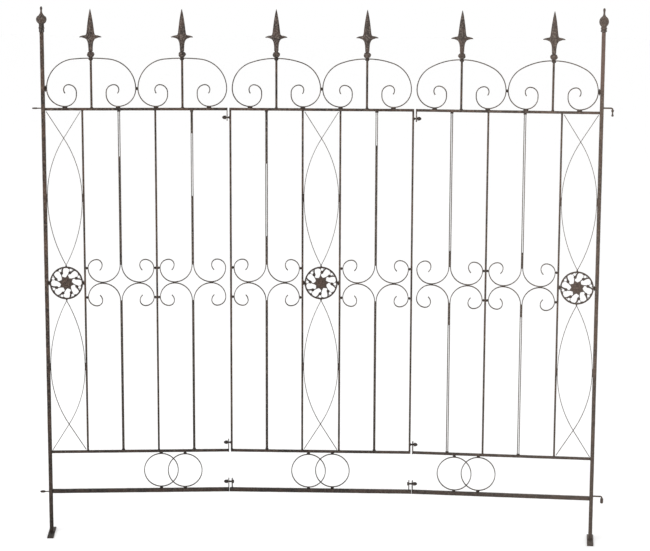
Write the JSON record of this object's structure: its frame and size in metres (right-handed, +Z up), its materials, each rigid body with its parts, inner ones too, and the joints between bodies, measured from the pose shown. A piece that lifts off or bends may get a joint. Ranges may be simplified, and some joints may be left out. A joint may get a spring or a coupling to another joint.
{
  "type": "garden gate",
  "caption": "Wrought-iron garden gate of bolted scrollwork panels with a spear and dome crest, cast rosettes, hanging eyes and hooks, and flat feet.",
  "frame": {"origin": "on the ground, in the middle of the footprint", "axes": "+X along the gate to the right as seen from the front, +Y to the back, +Z up"},
  "size_m": [1.7881, 0.1196, 1.676],
  "materials": {
    "bars": "weathered dark wrought iron, matt",
    "scroll_strip": "weathered flat iron strip, matt",
    "castings": "weathered cast iron with a brown bloom of rust",
    "welds": "rough weld beads",
    "fasteners": "weathered steel fasteners"
  },
  "bodies": {
    "middle_panel": {"middle_top_rail": "bars", "middle_lower_rail": "bars", "middle_base_rail": "bars", "middle_stiles": "bars", "middle_crest_stems": "bars", "middle_spear_heads": "castings", "middle_dome_scrolls": "scroll_strip", "middle_upper_scrolls": "scroll_strip", "middle_lower_scrolls": "scroll_strip", "middle_medallion_strips": "scroll_strip", "middle_rosette": "castings", "middle_base_rings": "scroll_strip", "middle_base_tabs": "bars", "middle_joint_studs": "fasteners", "middle_pair_fillers": "scroll_strip", "middle_weld_pads": "welds", "joint_bolts": "fasteners", "joint_washers": "fasteners", "joint_nuts": "fasteners"},
    "left_panel": {"left_post": "bars", "left_post_finial": "castings", "left_foot": "bars", "left_top_rail": "bars", "left_lower_rail": "bars", "left_base_rail": "bars", "left_stiles": "bars", "left_crest_stems": "bars", "left_spear_heads": "castings", "left_dome_scrolls": "scroll_strip", "left_upper_scrolls": "scroll_strip", "left_lower_scrolls": "scroll_strip", "left_medallion_strips": "scroll_strip", "left_rosette": "castings", "left_base_rings": "scroll_strip", "left_joint_tabs": "bars", "left_pair_fillers": "scroll_strip", "left_weld_pads": "welds", "left_hanging_eyes": "bars"},
    "right_panel": {"right_post": "bars", "right_post_finial": "castings", "right_foot": "bars", "right_top_rail": "bars", "right_lower_rail": "bars", "right_base_rail": "bars", "right_stiles": "bars", "right_crest_stems": "bars", "right_spear_heads": "castings", "right_dome_scrolls": "scroll_strip", "right_upper_scrolls": "scroll_strip", "right_lower_scrolls": "scroll_strip", "right_medallion_strips": "scroll_strip", "right_rosette": "castings", "right_base_rings": "scroll_strip", "right_joint_tabs": "bars", "right_pair_fillers": "scroll_strip", "right_weld_pads": "welds", "right_hanging_hooks": "bars"}
  },
  "joints": [
    {"name": "left_panel_swing", "type": "hinge", "parent": "middle_panel", "child": "left_panel", "pos_m": [-0.2935, 0.048, 0], "axis": [0, 0, 1], "range_deg": [-13, 3]},
    {"name": "right_panel_swing", "type": "hinge", "parent": "middle_panel", "child": "right_panel", "pos_m": [0.2935, 0.048, 0], "axis": [0, 0, -1], "range_deg": [-13, 3]}
  ]
}
